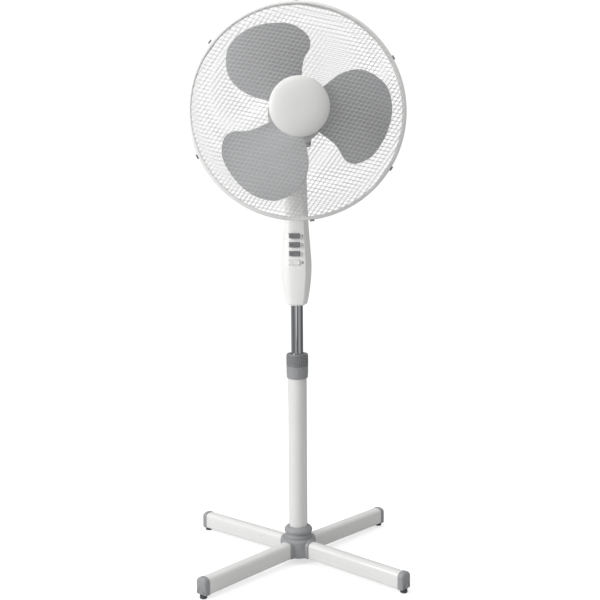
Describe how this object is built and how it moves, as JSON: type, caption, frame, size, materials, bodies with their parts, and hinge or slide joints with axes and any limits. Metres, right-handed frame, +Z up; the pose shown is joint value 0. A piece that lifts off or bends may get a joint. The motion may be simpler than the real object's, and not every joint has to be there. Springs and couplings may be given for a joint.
{
  "type": "pedestal fan",
  "caption": "Pedestal fan with a cross base, telescopic mast, key panel, tilting and oscillating head, net guard and wide blades.",
  "frame": {"origin": "on the floor, at the mast's axis, under the centre of the whole fan", "axes": "+Z up along the mast, -Y towards the front of the fan, +X to the right as seen from the front"},
  "size_m": [0.4298, 0.4204, 1.1621],
  "materials": {
    "white_plastic": "moulded, satin gloss",
    "white_enamel": "powder-coated steel tube, semi gloss",
    "grey_plastic": "moulded, fine texture",
    "dark_grey_plastic": "moulded, fine texture",
    "blade_plastic": "moulded, smooth, slightly translucent grey",
    "wire_enamel": "dip-coated wire net, semi gloss",
    "chrome": "chrome-plated tube, mirror bright",
    "steel": "zinc-plated",
    "windings": "laminated steel core with copper windings",
    "nylon": "natural nylon",
    "rubber": "moulded, matt"
  },
  "bodies": {
    "base": {"base_hub": "grey_plastic", "leg_front_left": "white_enamel", "leg_front_right": "white_enamel", "leg_rear_right": "white_enamel", "leg_rear_left": "white_enamel", "leg_cap_front_left": "grey_plastic", "leg_cap_front_right": "grey_plastic", "leg_cap_rear_right": "grey_plastic", "leg_cap_rear_left": "grey_plastic", "foot_pad_front_left": "rubber", "foot_pad_front_right": "rubber", "foot_pad_rear_right": "rubber", "foot_pad_rear_left": "rubber", "leg_screw_front_left": "steel", "leg_screw_front_right": "steel", "leg_screw_rear_right": "steel", "leg_screw_rear_left": "steel", "outer_tube": "white_enamel", "collar_sleeve": "grey_plastic"},
    "clamp_nut": {"clamp_nut": "dark_grey_plastic"},
    "clamp_bush": {"clamp_bush": "nylon"},
    "mast": {"inner_tube": "chrome", "mast_end_plug": "nylon", "housing_front": "white_plastic", "housing_rear": "white_plastic", "switch_block": "dark_grey_plastic", "shell_screw_1": "steel", "shell_screw_2": "steel", "mast_screw": "steel", "cord_gland": "dark_grey_plastic"},
    "button_speed_3": {"button_speed_3": "dark_grey_plastic"},
    "button_speed_2": {"button_speed_2": "dark_grey_plastic"},
    "button_speed_1": {"button_speed_1": "dark_grey_plastic"},
    "button_off": {"button_off": "white_plastic"},
    "tilt_bracket": {"tilt_bracket": "white_plastic", "tilt_nut": "steel"},
    "tilt_knob": {"tilt_knob": "grey_plastic"},
    "head": {"motor_rear_cover": "white_plastic", "motor_front_cover": "white_plastic", "motor_stator": "windings", "gearbox": "dark_grey_plastic", "rear_guard": "wire_enamel", "rear_guard_nut": "grey_plastic", "front_guard": "wire_enamel", "front_cap": "white_plastic"},
    "oscillation_knob": {"oscillation_knob": "grey_plastic"},
    "rotor": {"motor_rotor": "steel", "motor_shaft": "steel", "fan_blade": "blade_plastic", "spinner_nut": "grey_plastic"},
    "guard_clip_1": {"guard_clip_1": "grey_plastic"},
    "guard_clip_2": {"guard_clip_2": "grey_plastic"},
    "guard_clip_3": {"guard_clip_3": "grey_plastic"},
    "guard_clip_4": {"guard_clip_4": "grey_plastic"},
    "guard_clip_5": {"guard_clip_5": "grey_plastic"},
    "guard_clip_6": {"guard_clip_6": "grey_plastic"}
  },
  "joints": [
    {"name": "clamp_nut_turn", "type": "hinge", "parent": "base", "child": "clamp_nut", "pos_m": [0, 0, 0.434], "axis": [0, 0, 1], "range_deg": [0, 180]},
    {"name": "mast_swivel", "type": "hinge", "parent": "base", "child": "clamp_bush", "pos_m": [0, 0, 0.425], "axis": [0, 0, 1], "range_deg": [-180, 180]},
    {"name": "mast_slide", "type": "slide", "parent": "clamp_bush", "child": "mast", "axis": [0, 0, 1], "range_m": [-0.1, 0.1]},
    {"name": "speed_3_press", "type": "slide", "parent": "mast", "child": "button_speed_3", "axis": [0, 1, 0], "range_m": [0, 0.003], "stiffness_N_per_m": 300, "springref_m": -0.001},
    {"name": "speed_2_press", "type": "slide", "parent": "mast", "child": "button_speed_2", "axis": [0, 1, 0], "range_m": [0, 0.003], "stiffness_N_per_m": 300, "springref_m": -0.001},
    {"name": "speed_1_press", "type": "slide", "parent": "mast", "child": "button_speed_1", "axis": [0, 1, 0], "range_m": [0, 0.003], "stiffness_N_per_m": 300, "springref_m": -0.001},
    {"name": "off_press", "type": "slide", "parent": "mast", "child": "button_off", "axis": [0, 1, 0], "range_m": [0, 0.003], "stiffness_N_per_m": 300, "springref_m": -0.001},
    {"name": "head_tilt", "type": "hinge", "parent": "mast", "child": "tilt_bracket", "pos_m": [0, 0, 0.884], "axis": [-1, 0, 0], "range_deg": [-13, 19]},
    {"name": "tilt_knob_turn", "type": "hinge", "parent": "tilt_bracket", "child": "tilt_knob", "pos_m": [0, 0, 0.884], "axis": [1, 0, 0], "range_deg": [0, 180]},
    {"name": "head_oscillation", "type": "hinge", "parent": "tilt_bracket", "child": "head", "pos_m": [0, 0.0236, 0.89847], "axis": [0, 0.1019, 0.9948], "range_deg": [-40, 40]},
    {"name": "oscillation_knob_press", "type": "slide", "parent": "head", "child": "oscillation_knob", "axis": [0, 0.1019, 0.9948], "range_m": [-0.006, 0]},
    {"name": "rotor_spin", "type": "hinge", "parent": "head", "child": "rotor", "pos_m": [0, -0.07428, 0.94388], "axis": [0, -0.9948, 0.1019], "continuous": true},
    {"name": "guard_clip_1_open", "type": "hinge", "parent": "head", "child": "guard_clip_1", "pos_m": [0.18596, -0.06868, 1.04565], "axis": [0.4802, -0.0894, -0.8726], "range_deg": [0, 70]},
    {"name": "guard_clip_2_open", "type": "hinge", "parent": "head", "child": "guard_clip_2", "pos_m": [0, -0.05745, 1.15527], "axis": [1, 0, 0], "range_deg": [0, 70]},
    {"name": "guard_clip_3_open", "type": "hinge", "parent": "head", "child": "guard_clip_3", "pos_m": [-0.16591, -0.06561, 1.07566], "axis": [0.6225, 0.0798, 0.7785], "range_deg": [0, 70]},
    {"name": "guard_clip_4_open", "type": "hinge", "parent": "head", "child": "guard_clip_4", "pos_m": [-0.19367, -0.08785, 0.85859], "axis": [-0.4067, 0.0931, 0.9088], "range_deg": [0, 70]},
    {"name": "guard_clip_5_open", "type": "hinge", "parent": "head", "child": "guard_clip_5", "pos_m": [0.02584, -0.1005, 0.73505], "axis": [-0.9925, -0.0124, -0.1212], "range_deg": [0, 70]},
    {"name": "guard_clip_6_open", "type": "hinge", "parent": "head", "child": "guard_clip_6", "pos_m": [0.18037, -0.09041, 0.83355], "axis": [-0.5255, -0.0867, -0.8464], "range_deg": [0, 70]}
  ]
}
